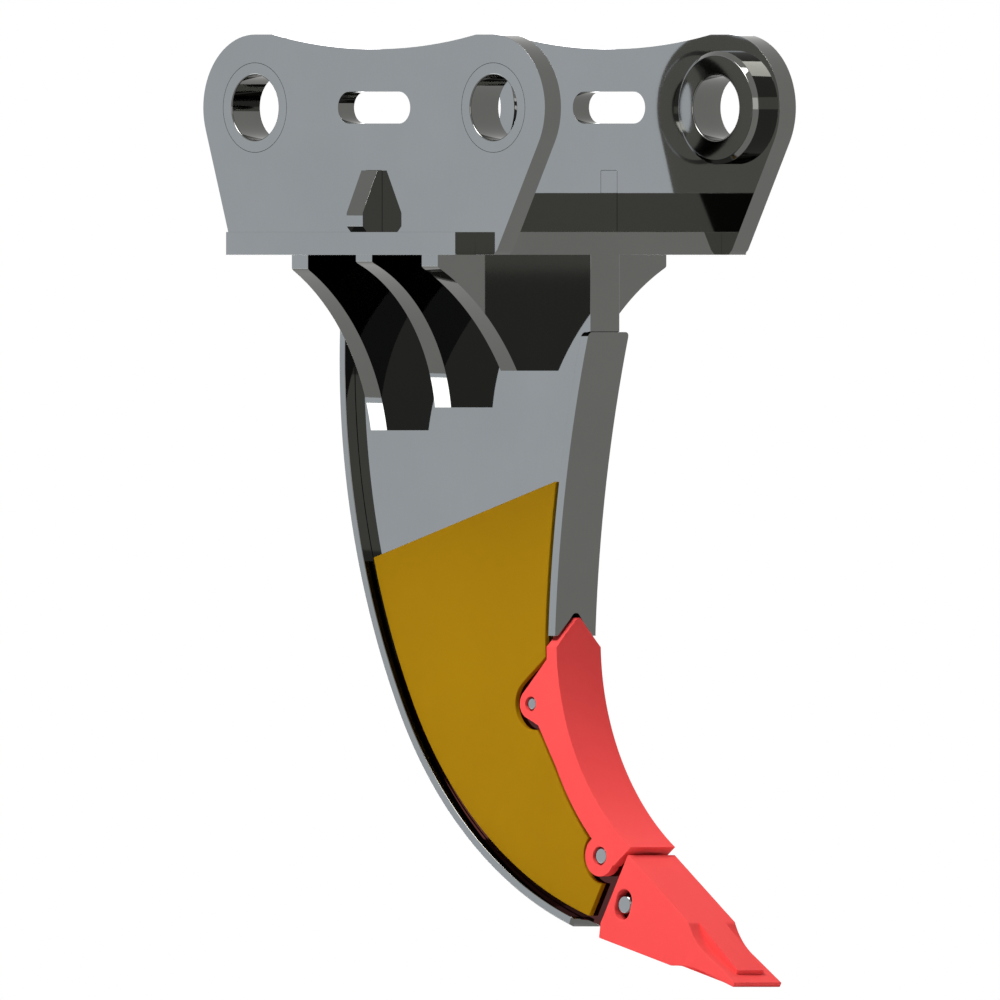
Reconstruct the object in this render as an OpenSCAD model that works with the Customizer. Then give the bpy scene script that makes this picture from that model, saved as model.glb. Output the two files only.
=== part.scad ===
// Excavator ripper: a pin-on hanger with two ears, a curved shank, a pinned shroud and a chisel tooth.
// Millimetres. The origin is the middle of the stick pin's bore. +X points to the tip, +Z is up and
// the pins lie along Y. Heights are measured from the pin line.

/* [Pins and bosses] */
// Distance from the stick pin to the link pin
pin_spacing = 413; // [390:1:440]
// Bore of the bosses
pin_bore_d = 80; // [60:1:90]
// Diameter of the boss barrel that fills the hole in the ear
boss_barrel_d = 110; // [100:1:125]
// Diameter of the boss collar inside the ear
boss_collar_d = 139; // [128:1:150]
// Length of the collar, inwards from the ear
boss_collar_l = 22; // [14:1:30]
// Chamfer round the face of the collar
boss_chamfer = 5; // [2:0.5:8]
// Clearance round the boss barrel
boss_fit = 0.2; // [0.1:0.05:0.5]

/* [Ears] */
// Width over the outside of the two ears
ear_span = 435; // [400:1:470]
// Thickness of an ear plate
ear_t = 28; // [20:1:36]
// Radius of the ear round each pin
ear_lobe_r = 89.5; // [82:0.5:100]
// Flat on the top edge, from each pin inwards
ear_top_flat = 30; // [10:1:60]
// Dip of the top edge between the flats
ear_dip = 18; // [8:1:26]
// Lean of the front edge from upright
ear_front_lean = 28.6; // [22:0.1:32]
// Lean of the rear edge from upright
ear_rear_lean = 17.3; // [12:0.1:22]
// Chamfer under the front and rear toe
ear_toe_chamfer = 6; // [2:0.5:10]
// Length of the lifting slot
slot_l = 125; // [80:1:150]
// Width of the lifting slot
slot_w = 39; // [24:1:50]

/* [Base plate and cross plate] */
// Height of the pin line above the base plate
pin_height = 152.4; // [140:0.2:180]
// Thickness of the base plate
base_t = 28; // [20:1:36]
// How far the base plate runs out past each ear
base_overhang = 34.5; // [25:0.5:50]
// How far the wings of the base plate run behind the link pin
base_wing_rear = 15.5; // [5:0.5:25]
// How far the wings of the base plate stop behind the stick pin
base_wing_front = 31.5; // [20:0.5:45]
// How far the tongue between the ears runs behind the link pin
base_tongue_rear = 33.5; // [28:0.5:36]
// How far the tongue between the ears stops behind the stick pin
base_tongue_front = 11.5; // [4:0.5:18]
// Thickness of the cross plate
cross_t = 28; // [20:1:36]
// Height of the cross plate between the ears
cross_h = 47.8; // [30:0.2:70]
// Height of the cross plate where it passes the ears
rib_h = 75.4; // [60:0.2:85]
// How far the outer rib stops short of the base plate's edge
rib_setback = 0.9; // [0.5:0.1:6]
// Flat on top of the outer rib
rib_top_flat = 8; // [4:0.5:14]
// Height of the outer rib's upright end
rib_end_h = 23.4; // [14:0.2:40]
// Chamfer at the foot of the outer rib
rib_foot_chamfer = 7; // [2:0.5:12]
// Clearance of each plate slot
plate_fit = 0.3; // [0.1:0.05:0.6]

/* [Gussets] */
// Thickness of a gusset
gusset_t = 28; // [20:1:36]
// How far a gusset runs out past the ear's inner face
gusset_past_ear = 8.5; // [0:0.5:20]
// Width of the blunt lower end
gusset_foot = 36; // [20:1:50]
// Small chamfer under the outer end
gusset_nip = 2; // [0.5:0.5:5]
// Depth of the rear gusset
rear_gusset_depth = 215; // [180:1:240]
// Outer edge of the rear gusset
rear_gusset_edge = 19; // [12:1:26]
// Hollow radius of the rear gusset
rear_gusset_r = 284; // [240:1:340]
// Middle of the rear gusset, ahead of the link pin
rear_gusset_x = 58.5; // [45:0.5:80]
// Depth of the middle gusset
mid_gusset_depth = 187; // [150:1:210]
// Outer edge of the middle gusset
mid_gusset_edge = 10; // [6:1:20]
// Hollow radius of the middle gusset
mid_gusset_r = 220; // [190:1:280]
// Middle of the middle gusset, ahead of the link pin
mid_gusset_x = 169.5; // [150:0.5:190]
// Depth of the front gusset
front_gusset_depth = 142; // [120:1:170]
// Outer edge of the front gusset
front_gusset_edge = 16; // [8:1:24]
// Hollow radius of the front gusset
front_gusset_r = 332; // [260:1:400]
// Middle of the front gusset, ahead of the link pin
front_gusset_x = 283.5; // [265:0.5:300]

/* [Shank] */
// Thickness of the shank plate
shank_t = 50; // [40:1:60]
// How far the shank's head stops behind the stick pin
head_setback = 23.5; // [18:0.5:30]
// Depth of the head below the base plate, where the leading-edge bar starts
head_h = 94.6; // [70:0.2:120]
// Setback behind the stick pin of the point where the leading edge's two arcs meet
lead_setback = 74.8; // [65:0.2:85]
// Depth below the pins of that point
lead_drop = 636.8; // [600:0.2:680]
// Lean of the leading edge at that point
lead_lean = 2.87; // [1:0.05:5]
// Radius of the leading edge above that point
lead_upper_r = 1684; // [1500:1:1900]
// Radius of the leading edge below that point
lead_lower_r = 318.6; // [300:0.2:335]
// Distance from the stick pin back to the point where the trailing edge's two arcs meet
trail_setback = 338.5; // [325:0.5:350]
// Depth below the pins of that point
trail_drop = 740.7; // [720:0.5:760]
// Slope of the line through both arc centres at that point
trail_slope = 27.13; // [24:0.1:30]
// Radius of the trailing edge above that point
trail_upper_r = 943; // [880:1:1000]
// Radius of the trailing edge below that point
trail_lower_r = 538; // [525:1:560]
// Thickness of the leading-edge bar
bar_t = 12; // [8:0.5:16]
// Width of the leading-edge bar
bar_w = 70; // [64:1:76]
// Corner radius at the top of the bar
bar_corner_r = 6; // [2:0.5:12]
// Depth below the pins of the notch in the bar's lower end
bar_notch_drop = 619; // [590:1:640]
// Height of that notch
bar_notch_h = 28; // [24:1:40]
// Radius at the top of that notch
bar_notch_r = 8; // [5:0.5:11]
// Width of the bar's foot on each side of that notch
bar_foot_w = 8; // [5:0.5:10]
// Thickness of the back flange
flange_t = 10; // [6:0.5:16]
// Width of the back flange
flange_w = 84; // [74:1:100]
// Where the back flange ends, in degrees down its lower arc
flange_end_angle = 70.7; // [66:0.1:72]

/* [Side wear plates] */
// Thickness of a wear plate
wear_t = 8; // [5:0.5:12]
// Gap from the leading-edge bar
wear_front_gap = 7.5; // [4:0.5:12]
// Gap from the back flange
wear_rear_gap = 8; // [4:0.5:14]
// Depth below the pins of the top edge, at its front end
wear_top_drop = 457; // [430:1:490]
// Slope of the top edge
wear_top_slope = 16.5; // [8:0.5:25]
// Clip off the top front corner
wear_corner_clip = 7; // [2:0.5:12]
// Gap from the shroud
wear_shroud_gap = 8.5; // [5:0.5:10]
// Gap from the shroud's upper lug
wear_lug_gap = 13.5; // [12:0.5:16]
// Gap from the tooth
wear_tooth_gap = 28; // [20:1:36]

/* [Shroud] */
// Width of the shroud
shroud_w = 77; // [72:1:81]
// How far the shroud's face stands ahead of the bar's face
shroud_proud = 5.5; // [2:0.5:10]
// Depth of the shroud's cheeks behind the bar's face
cheek_depth = 31.4; // [26:0.2:36]
// Gap between the bar's notch and the shroud's pointed top
shroud_top_gap = 6; // [4:0.5:20]
// How much taller the pointed top is than the bar's notch
shroud_point_rise = 8; // [6:1:16]
// Radius of the pointed top
shroud_point_r = 6; // [4:0.5:8]
// Where the cheeks start, in degrees down the lower arc
cheek_start_angle = 4; // [3:0.1:6]
// Where the hollow under the upper lug ends, in degrees down the lower arc
hollow_angle = 16.8; // [16.4:0.1:18]
// Depth of that hollow behind the bar's face
hollow_depth = 41.5; // [38:0.5:43]
// Where the cheeks' rear edge joins the lower arc
cheek_join_angle = 29; // [26:0.5:32]
// Slope of the lower end
shroud_end_slope = 38.3; // [34:0.1:42]
// Radius of the upper pin lug
upper_lug_r = 18.5; // [16:0.5:22]
// Place of the upper pin, in degrees down the lower arc
upper_pin_angle = 12.24; // [11:0.1:14]
// Depth of the upper pin behind the bar's face
upper_pin_depth = 47.7; // [42:0.1:54]
// Diameter of the upper pin
upper_pin_d = 16; // [12:0.5:18]
// Radius of the lower pin lug
lower_lug_r = 25; // [22:0.5:28]
// Place of the lower pin, in degrees down the lower arc
lower_pin_angle = 47.94; // [46:0.1:49]
// Depth of the lower pin behind the bar's face
lower_pin_depth = 37.1; // [34:0.1:42]
// Diameter of the lower pin
lower_pin_d = 21; // [16:0.5:24]
// Room round a pin in the shroud
lug_hole_room = 1.2; // [0.5:0.1:2]
// Clearance of the shroud on the shank
shroud_fit = 0.4; // [0.2:0.1:1]

/* [Tooth] */
// Width of the tooth
tooth_w = 82; // [74:1:92]
// Place of the tooth's socket mouth, in degrees down the lower arc
tooth_seat_angle = 55.25; // [55:0.05:57]
// Depth of the socket mouth's middle behind the bar's face
tooth_seat_depth = 51.9; // [48:0.1:54]
// Pitch of the tooth below level
tooth_pitch = 29.5; // [27:0.1:32]
// Length from the socket mouth to the tip
tooth_l = 239; // [220:1:270]
// Half height of the tooth at the socket mouth
tooth_half_h = 48.5; // [46:0.5:56]
// Depth of the heel under the socket
heel_drop = 65; // [60:0.5:70]
// Slope of the heel's rear face
heel_back = 6.4; // [3:0.2:10]
// Where the shoulder ends and the blade begins
blade_start = 132; // [128:1:150]
// Height of the top shoulder over the axis there
shoulder_top = 28.2; // [26:0.2:32]
// Depth of the lower shoulder under the axis there
shoulder_under = 33.3; // [30:0.2:38]
// Where the upper hollow runs out into the blade
upper_hollow_end = 178; // [165:1:195]
// Where the lower hollow runs out into the blade
lower_hollow_end = 189; // [175:1:200]
// Thickness of the tip
tip_t = 6.3; // [4:0.1:12]
// Half angle of the blade above the axis
blade_upper_slope = 5.6; // [4:0.1:8]
// Half angle of the blade under the axis
blade_lower_slope = 9.9; // [6:0.1:12]
// Width of the wear rib along the blade
rib_w = 45; // [30:1:56]
// Where the upper rib ends
upper_rib_end = 220; // [205:1:228]
// Height of the upper rib over the axis at its end
upper_rib_h = 10; // [9:0.2:14]
// Where the lower rib ends
lower_rib_end = 205; // [192:1:215]
// Depth of the lower rib under the axis at its end
lower_rib_h = 15; // [12:0.2:18]
// Length of the shank's nose in the socket
nose_l = 118; // [90:1:125]
// Height of the nose over the axis at the mouth
nose_top = 32; // [26:0.5:36]
// Depth of the nose under the axis at the mouth
nose_under = 42; // [34:0.5:44]
// Height of the nose over the axis at its end
nose_end_top = 14; // [8:0.5:16]
// Depth of the nose under the axis at its end
nose_end_under = 12; // [8:0.5:16]
// Clearance of the tooth on the nose
tooth_fit = 0.4; // [0.2:0.1:1]
// Gap between the tooth and the shank's shoulder
tooth_gap = 2; // [0.5:0.5:4]
// Distance of the tooth pin from the socket mouth
tooth_pin_s = 23.3; // [21:0.1:30]
// Distance of the tooth pin under the axis
tooth_pin_under = 9; // [4:0.5:12]
// Diameter of the tooth pin
tooth_pin_d = 23; // [18:0.5:25]
// Width of the oval pin hole in the tooth
oval_w = 26; // [25.5:0.1:30]
// Length of the oval pin hole in the tooth
oval_l = 38; // [34:0.5:42]
// Lean of the oval pin hole from upright
oval_lean = 17; // [5:1:30]

/* [Pins and retainers] */
// How far a pin's ends lie inside the piece that it holds
pin_recess = 2.5; // [1:0.5:5]
// Chamfer on a pin's ends
pin_chamfer = 1.6; // [0.5:0.1:2.5]
// Clearance of a pin in the shank
pin_fit = 0.25; // [0.1:0.05:0.5]
// Thickness of a retaining ring
ring_t = 5; // [3:0.5:8]
// Width of a retaining ring outside its pin
ring_width = 7; // [4:0.5:9]
// Depth of the groove in a pin
groove_depth = 2; // [1:0.25:3]
// Gap in a retaining ring
ring_gap = 9; // [5:0.5:12]

/* [Hidden] */
// Sides of a round, and of the long arcs along the shank
$fn = 96;
long_arc_fn = 720;

// Plain colours of the finishes
steel = "#8f9496";
bright_steel = "#b9bdbf";
yellow = "#d9a30c";
red = "#e8413c";

// Room for cutters that run past what they cut
past = 5;
// How far a curve runs into its neighbour, so that the two cross
bite = 0.05;
// The same where the two run nearly side by side
deep_bite = 1;
// Larger than the whole ripper
far = 3000;

// Hanger, measured from the middle between the pins
half_pitch = pin_spacing / 2;
ear_in = ear_span / 2 - ear_t;
ear_out = ear_span / 2;
base_w = ear_span + 2 * base_overhang;
base_top = -pin_height;
base_bottom = base_top - base_t;
wing_x0 = -half_pitch - base_wing_rear;
wing_x1 = half_pitch - base_wing_front;
tongue_x0 = -half_pitch - base_tongue_rear;
tongue_x1 = half_pitch - base_tongue_front;
gusset_reach = ear_in + gusset_past_ear;
dip_half = half_pitch - ear_top_flat;
dip_r = (dip_half * dip_half + ear_dip * ear_dip) / (2 * ear_dip);

// Shank
head_x = half_pitch - head_setback;
head_bottom = base_bottom - head_h;
lead_meet = [half_pitch - lead_setback, -lead_drop];
lead_upper_c = lead_meet + lead_upper_r * [cos(lead_lean), -sin(lead_lean)];
lead_lower_c = lead_meet + lead_lower_r * [cos(lead_lean), -sin(lead_lean)];
shroud_top_drop = bar_notch_drop + shroud_top_gap;
shroud_point_h = bar_notch_h + shroud_point_rise;
trail_meet = [half_pitch - trail_setback, -trail_drop];
trail_upper_c = trail_meet + trail_upper_r * [cos(trail_slope), sin(trail_slope)];
trail_lower_c = trail_meet + trail_lower_r * [cos(trail_slope), sin(trail_slope)];

// A point on the leading edge's lower arc, `angle` degrees down and `depth` behind the bar's face
function lead_point(angle, depth) =
    lead_lower_c - (lead_lower_r + depth) * [cos(angle), sin(angle)];

upper_pin_at = lead_point(upper_pin_angle, upper_pin_depth);
lower_pin_at = lead_point(lower_pin_angle, lower_pin_depth);
tooth_at = lead_point(tooth_seat_angle, tooth_seat_depth);

// A point of the tooth's own frame, `s` along its axis and `n` above it, in the side view
function tooth_point(s, n) =
    tooth_at + s * [cos(tooth_pitch), -sin(tooth_pitch)] + n * [sin(tooth_pitch), cos(tooth_pitch)];

tooth_pin_at = tooth_point(tooth_pin_s, -tooth_pin_under);

// Touching point on the circle of radius r round c of the line from p; side is 1 or -1
function tangent_point(p, c, r, side) =
    let (d = p - c, a = atan2(d.y, d.x) + side * acos(r / norm(d))) c + r * [cos(a), sin(a)];

// Centre of the arc of radius r from p to q that lies to the left of the way from p to q
function arc_centre(p, q, r) =
    let (d = q - p, l = norm(d)) (p + q) / 2 + sqrt(r * r - l * l / 4) * [-d.y, d.x] / l;

// Placing

// From the middle between the pins to the stick pin's bore
module from_stick_pin() {
    translate([-half_pitch, 0, 0]) children();
}

// A side-view outline, X and Z, made into a plate across Y
module across(width, y = 0) {
    translate([0, y, 0]) rotate([90, 0, 0]) linear_extrude(width, center = true) children();
}

// A front-view outline, Y and Z, made into a plate along X
module along(length, x = 0) {
    translate([x, 0, 0]) rotate([90, 0, 90]) linear_extrude(length, center = true) children();
}

// The piece as made on the left side, or its mirror on the right
module on_side(side) {
    if (side < 0) mirror([0, 1, 0]) children();
    else children();
}

// Round bar across Y through a side-view point
module cross_bar(at, d, y0, y1) {
    translate([at.x, y0, at.y]) rotate([-90, 0, 0]) cylinder(d = d, h = y1 - y0);
}

// Half of the side view, to the left of a line through `at` that runs at `angle`
module half_plane(at, angle) {
    translate(at) rotate(angle) translate([-far, 0]) square([2 * far, far]);
}

// Hanger

module ear_outline() {
    bottom = base_bottom;
    front_top = [half_pitch + ear_lobe_r * cos(ear_front_lean), -ear_lobe_r * sin(ear_front_lean)];
    rear_top = [-half_pitch - ear_lobe_r * cos(ear_rear_lean), -ear_lobe_r * sin(ear_rear_lean)];
    front_x = front_top.x - (front_top.y - bottom) * tan(ear_front_lean);
    rear_x = rear_top.x + (rear_top.y - bottom) * tan(ear_rear_lean);
    chamfer = ear_toe_chamfer;
    difference() {
        union() {
            for (side = [-1, 1]) translate([side * half_pitch, 0]) circle(ear_lobe_r);
            polygon([
                [half_pitch, ear_lobe_r],
                [-half_pitch, ear_lobe_r],
                rear_top,
                [rear_x - chamfer * tan(ear_rear_lean), bottom + chamfer],
                [rear_x + chamfer / 2, bottom],
                [wing_x0, bottom],
                [wing_x0, base_top],
                [wing_x1, base_top],
                [wing_x1, bottom],
                [front_x - chamfer / 2, bottom],
                [front_x + chamfer * tan(ear_front_lean), bottom + chamfer],
                front_top
            ]);
        }
        translate([0, ear_lobe_r - ear_dip + dip_r]) circle(dip_r, $fn = long_arc_fn);
        for (side = [-1, 1]) translate([side * half_pitch, 0]) circle(boss_barrel_d / 2 + boss_fit);
        lifting_slot();
        translate([-cross_t / 2 - plate_fit, base_top - past])
            square([cross_t + 2 * plate_fit, rib_h + plate_fit + past]);
    }
}

module lifting_slot() {
    reach = (slot_l - slot_w) / 2;
    square([2 * reach, slot_w], center = true);
    for (side = [-1, 1]) translate([side * reach, 0]) circle(slot_w / 2);
}

module ear(side) {
    color(steel) from_stick_pin()
        across(ear_t, side * (ear_in + ear_t / 2)) ear_outline();
}

// A turned boss: a barrel through the ear and a chamfered collar inside it
module boss(x, side) {
    bore_r = pin_bore_d / 2;
    barrel_r = boss_barrel_d / 2;
    collar_r = boss_collar_d / 2;
    face = ear_in - boss_collar_l;
    color(steel) on_side(side) translate([x, 0, 0]) rotate([-90, 0, 0]) rotate_extrude()
        polygon([
            [bore_r, face],
            [collar_r - boss_chamfer, face],
            [collar_r, face + boss_chamfer],
            [collar_r, ear_in],
            [barrel_r, ear_in],
            [barrel_r, ear_out],
            [bore_r, ear_out]
        ]);
}

module base_plate() {
    color(steel) from_stick_pin() translate([0, 0, base_bottom]) linear_extrude(base_t) {
        translate([wing_x0, -base_w / 2]) square([wing_x1 - wing_x0, base_w]);
        translate([tongue_x0, -ear_in]) square([tongue_x1 - tongue_x0, 2 * ear_in]);
    }
}

module cross_plate() {
    rib_out = base_w / 2 - rib_setback;
    half = [
        [rib_out - rib_foot_chamfer, 0],
        [rib_out, rib_foot_chamfer],
        [rib_out, rib_end_h],
        [ear_out + rib_top_flat, rib_h],
        [ear_in, rib_h],
        [ear_in, cross_h]
    ];
    mirrored = [for (i = [len(half) - 1:-1:0]) [-half[i].x, half[i].y]];
    color(steel) from_stick_pin() along(cross_t) translate([0, base_top]) polygon(concat(half, mirrored));
}

// A hollow-edged gusset between the base plate and the shank's side
module gusset(x, side, depth, edge, hollow_r) {
    root = shank_t / 2;
    outer = [gusset_reach - gusset_nip, -edge];
    foot = [root + gusset_foot, -depth];
    color(steel) from_stick_pin() on_side(side) along(gusset_t, x - half_pitch)
        translate([0, base_bottom]) difference() {
            polygon([
                [root, 0],
                [root, -depth],
                foot + [past, 0],
                outer - [past, past],
                [gusset_reach, gusset_nip - edge],
                [gusset_reach, 0]
            ]);
            translate(arc_centre(outer, foot, hollow_r)) circle(hollow_r, $fn = long_arc_fn);
        }
}

// Shank

// A large disc whose rim runs on into a smaller disc where they touch, below the line through `meet`
module two_arc_disc(meet, line_angle, upper_c, upper_r, lower_c, lower_r) {
    difference() {
        translate(upper_c) circle(upper_r, $fn = long_arc_fn);
        difference() {
            half_plane(meet, line_angle);
            translate(lower_c) circle(lower_r, $fn = long_arc_fn);
        }
    }
}

// All that lies ahead of the leading edge, moved back by `gap`
module ahead_of_lead(gap) {
    two_arc_disc(lead_meet, 180 - lead_lean,
        lead_upper_c, lead_upper_r + gap, lead_lower_c, lead_lower_r + gap);
}

// All that lies ahead of the trailing edge, moved forwards by `gap`
module ahead_of_trail(gap) {
    two_arc_disc(trail_meet, 180 + trail_slope,
        trail_upper_c, trail_upper_r - gap, trail_lower_c, trail_lower_r - gap);
}

// All that lies behind the tooth's mouth, moved back by `gap`
module behind_tooth(gap) {
    half_plane(tooth_point(-gap, 0), 90 - tooth_pitch);
}

module below(z) {
    half_plane([0, z], 180);
}

// The shank's nose in the side view, grown all round by `room`
module nose_outline(room) {
    back = -tooth_gap - past;
    mouth = -tooth_gap / 2;
    polygon([
        tooth_point(back, -nose_under - room),
        tooth_point(mouth, -nose_under - room),
        tooth_point(nose_l + room, -nose_end_under - room),
        tooth_point(nose_l + room, nose_end_top + room),
        tooth_point(mouth, nose_top + room),
        tooth_point(back, nose_top + room)
    ]);
}

module shank_outline() {
    difference() {
        intersection() {
            ahead_of_trail(flange_t);
            below(base_bottom);
            behind_tooth(tooth_gap);
        }
        intersection() {
            ahead_of_lead(bar_t);
            below(head_bottom);
        }
        translate([head_x, head_bottom]) square(far);
    }
    nose_outline(0);
}

module shank() {
    color(steel) from_stick_pin() difference() {
        across(shank_t) shank_outline();
        pin_hole(upper_pin_at, upper_pin_d);
        pin_hole(lower_pin_at, lower_pin_d);
        pin_hole(tooth_pin_at, tooth_pin_d);
    }
}

// Bore for a pin through the shank, with the seat of its retaining ring on the right side
module pin_hole(at, d) {
    cross_bar(at, d + 2 * pin_fit, -shank_t / 2 - past, shank_t / 2 + past);
    cross_bar(at, d + 2 * ring_width + 2 * pin_fit,
        -shank_t / 2 - past, -shank_t / 2 + ring_t + 2 * pin_fit);
}

module back_flange() {
    color(steel) from_stick_pin() across(flange_w) difference() {
        intersection() {
            ahead_of_trail(0);
            below(base_bottom);
            half_plane(trail_lower_c, flange_end_angle);
        }
        ahead_of_trail(flange_t);
    }
}

module leading_edge_bar() {
    corner = bar_w / 2 - bar_corner_r;
    notch_end = bar_notch_drop + bar_notch_h;
    color(steel) from_stick_pin() difference() {
        intersection() {
            across(bar_w) difference() {
                ahead_of_lead(bar_t);
                ahead_of_lead(0);
            }
            along(far) {
                for (side = [-1, 1])
                    translate([side * corner, head_bottom - bar_corner_r]) circle(bar_corner_r);
                translate([-corner, -notch_end]) square([2 * corner, notch_end + head_bottom]);
                translate([-bar_w / 2, -notch_end])
                    square([bar_w, notch_end + head_bottom - bar_corner_r]);
            }
        }
        along(far) notch_outline(notch_end);
    }
}

// The notch in the bar's lower end, from the front
module notch_outline(notch_end) {
    crown = [0, -bar_notch_drop - bar_notch_r];
    foot = bar_w / 2 - bar_foot_w;
    translate(crown) circle(bar_notch_r);
    polygon([
        tangent_point([foot, -notch_end], crown, bar_notch_r - bite, 1),
        crown,
        tangent_point([-foot, -notch_end], crown, bar_notch_r - bite, -1),
        [-foot, -notch_end],
        [-foot, -notch_end - past],
        [foot, -notch_end - past],
        [foot, -notch_end]
    ]);
}

// Side wear plates

module wear_outline() {
    top_front = [lead_meet.x, -wear_top_drop];
    difference() {
        intersection() {
            ahead_of_trail(flange_t + wear_rear_gap);
            half_plane(top_front, 180 + wear_top_slope);
            half_plane(top_front - [wear_corner_clip, 0], 180 - wear_top_slope);
            behind_tooth(wear_tooth_gap);
        }
        ahead_of_lead(bar_t + wear_front_gap);
        cheek_outline(wear_shroud_gap, wear_lug_gap);
    }
}

module wear_plate(side) {
    color(yellow) from_stick_pin()
        across(wear_t, side * (shank_t + wear_t) / 2) wear_outline();
}

// Shroud

// A cheek of the shroud in the side view, grown by `room` at the edges that face the wear plates and
// by `lug_room` round its upper lug
module cheek_outline(room, lug_room) {
    cheek_top = lead_point(cheek_start_angle, bar_t) + [0, room];
    hollow = lead_point(hollow_angle, hollow_depth + room);
    cheek_join = lead_point(cheek_join_angle, cheek_depth + room - deep_bite);
    upper_r = upper_lug_r + lug_room;
    lower_r = lower_lug_r + room;
    end_normal = [-sin(shroud_end_slope), cos(shroud_end_slope)];
    intersection() {
        ahead_of_lead(cheek_depth + room);
        half_plane(lead_lower_c, 180 + upper_pin_angle);
        half_plane(lower_pin_at - lower_r * end_normal, shroud_end_slope);
    }
    polygon([
        lead_lower_c,
        cheek_top,
        tangent_point(cheek_top, upper_pin_at, upper_r - bite, 1),
        upper_pin_at,
        tangent_point(hollow, upper_pin_at, upper_lug_r - bite, -1),
        hollow,
        cheek_join
    ]);
    translate(upper_pin_at) circle(upper_r);
    translate(lower_pin_at) circle(lower_r);
}

// The wall of the shroud that covers the leading edge above its cheeks
module neck_outline() {
    intersection() {
        ahead_of_lead(bar_t - shroud_fit);
        below(-shroud_top_drop);
        half_plane(lead_lower_c, upper_pin_angle);
    }
}

// The shroud from the front: a rounded point over straight sides
module shroud_front_outline() {
    shoulder = -shroud_top_drop - shroud_point_h;
    crown = [0, -shroud_top_drop - shroud_point_r];
    translate(crown) circle(shroud_point_r);
    polygon([
        [shroud_w / 2, -far],
        [shroud_w / 2, shoulder],
        tangent_point([shroud_w / 2, shoulder], crown, shroud_point_r - bite, 1),
        crown,
        tangent_point([-shroud_w / 2, shoulder], crown, shroud_point_r - bite, -1),
        [-shroud_w / 2, shoulder],
        [-shroud_w / 2, -far]
    ]);
}

module shroud() {
    color(red) from_stick_pin() difference() {
        intersection() {
            across(shroud_w) difference() {
                union() {
                    cheek_outline(0, 0);
                    neck_outline();
                }
                ahead_of_lead(-shroud_proud);
            }
            along(far) shroud_front_outline();
        }
        across(shank_t + 2 * shroud_fit) difference() {
            translate([-far / 2, -far / 2]) square(far);
            ahead_of_lead(bar_t - shroud_fit);
        }
        cross_bar(upper_pin_at, upper_pin_d + 2 * lug_hole_room, -shroud_w, shroud_w);
        cross_bar(lower_pin_at, lower_pin_d + 2 * lug_hole_room, -shroud_w, shroud_w);
    }
}

// Tooth

// The blade's upper and lower planes meet the tip's two edges at these heights over the axis
blade_tip_top = tip_t / 2;
function blade_top(s) = blade_tip_top + (tooth_l - s) * tan(blade_upper_slope);
function blade_under(s) = -blade_tip_top - (tooth_l - s) * tan(blade_lower_slope);

// Radius of the arc from `p` on the shoulder that runs out at `q` into a blade plane with the normal `n`
function hollow_radius(p, q, n) = (p - q) * (p - q) / (2 * ((p - q) * n));

module in_tooth_frame() {
    translate(tooth_at) rotate(-tooth_pitch) children();
}

// The back of the tooth, from its top shoulder round to its lower shoulder
tooth_back = [
    [blade_start, shoulder_top],
    [0, tooth_half_h],
    [0, -tooth_half_h],
    [heel_back, -heel_drop],
    [blade_start, -shoulder_under]
];

// The tooth at its sides: shoulders that run out through hollows into a thin blade
module blade_outline() {
    upper_to = [upper_hollow_end, blade_top(upper_hollow_end)];
    upper_n = [sin(blade_upper_slope), cos(blade_upper_slope)];
    upper_r = hollow_radius(tooth_back[0], upper_to, upper_n);
    lower_to = [lower_hollow_end, blade_under(lower_hollow_end)];
    lower_n = [sin(blade_lower_slope), -cos(blade_lower_slope)];
    lower_r = hollow_radius(tooth_back[4], lower_to, lower_n);
    difference() {
        polygon(concat(tooth_back, [
            lower_to,
            [tooth_l, -blade_tip_top],
            [tooth_l, blade_tip_top],
            upper_to
        ]));
        translate(upper_to + (upper_r - bite) * upper_n) circle(upper_r);
        translate(lower_to + (lower_r - bite) * lower_n) circle(lower_r);
    }
}

// The middle of the tooth, where a wear rib runs on from each shoulder
module rib_outline() {
    polygon(concat(tooth_back, [
        [lower_rib_end, -lower_rib_h],
        [lower_rib_end, 0],
        [upper_rib_end, 0],
        [upper_rib_end, upper_rib_h]
    ]));
}

module oval_outline() {
    reach = (oval_l - oval_w) / 2;
    translate(tooth_pin_at) rotate(-oval_lean) {
        square([oval_w, 2 * reach], center = true);
        for (side = [-1, 1]) translate([0, side * reach]) circle(oval_w / 2);
    }
}

module tooth() {
    color(red) from_stick_pin() difference() {
        union() {
            across(tooth_w) in_tooth_frame() blade_outline();
            across(rib_w) in_tooth_frame() rib_outline();
        }
        across(shank_t + 2 * tooth_fit) nose_outline(tooth_fit);
        across(tooth_w + past) oval_outline();
    }
}

// Pins and their retaining rings

ring_y = -shank_t / 2 + ring_t / 2 + pin_fit;

// A chamfered pin with a groove for its ring, in a piece of width `w`
module grooved_pin(at, d, w) {
    half = w / 2 - pin_recess;
    r = d / 2;
    groove_half = ring_t / 2 + pin_fit;
    color(bright_steel) from_stick_pin() translate([at.x, 0, at.y]) rotate([-90, 0, 0]) rotate_extrude()
        polygon([
            [0, -half],
            [r - pin_chamfer, -half],
            [r, pin_chamfer - half],
            [r, ring_y - groove_half],
            [r - groove_depth, ring_y - groove_half],
            [r - groove_depth, ring_y + groove_half],
            [r, ring_y + groove_half],
            [r, half - pin_chamfer],
            [r - pin_chamfer, half],
            [0, half]
        ]);
}

// An open spring ring in a pin's groove
module retaining_ring(at, d) {
    inner = d / 2 - groove_depth + pin_fit;
    outer = d / 2 + ring_width;
    color(bright_steel) from_stick_pin() across(ring_t, ring_y) translate(at) difference() {
        circle(outer);
        circle(inner);
        translate([0, -ring_gap / 2]) square([outer + past, ring_gap]);
    }
}

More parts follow.
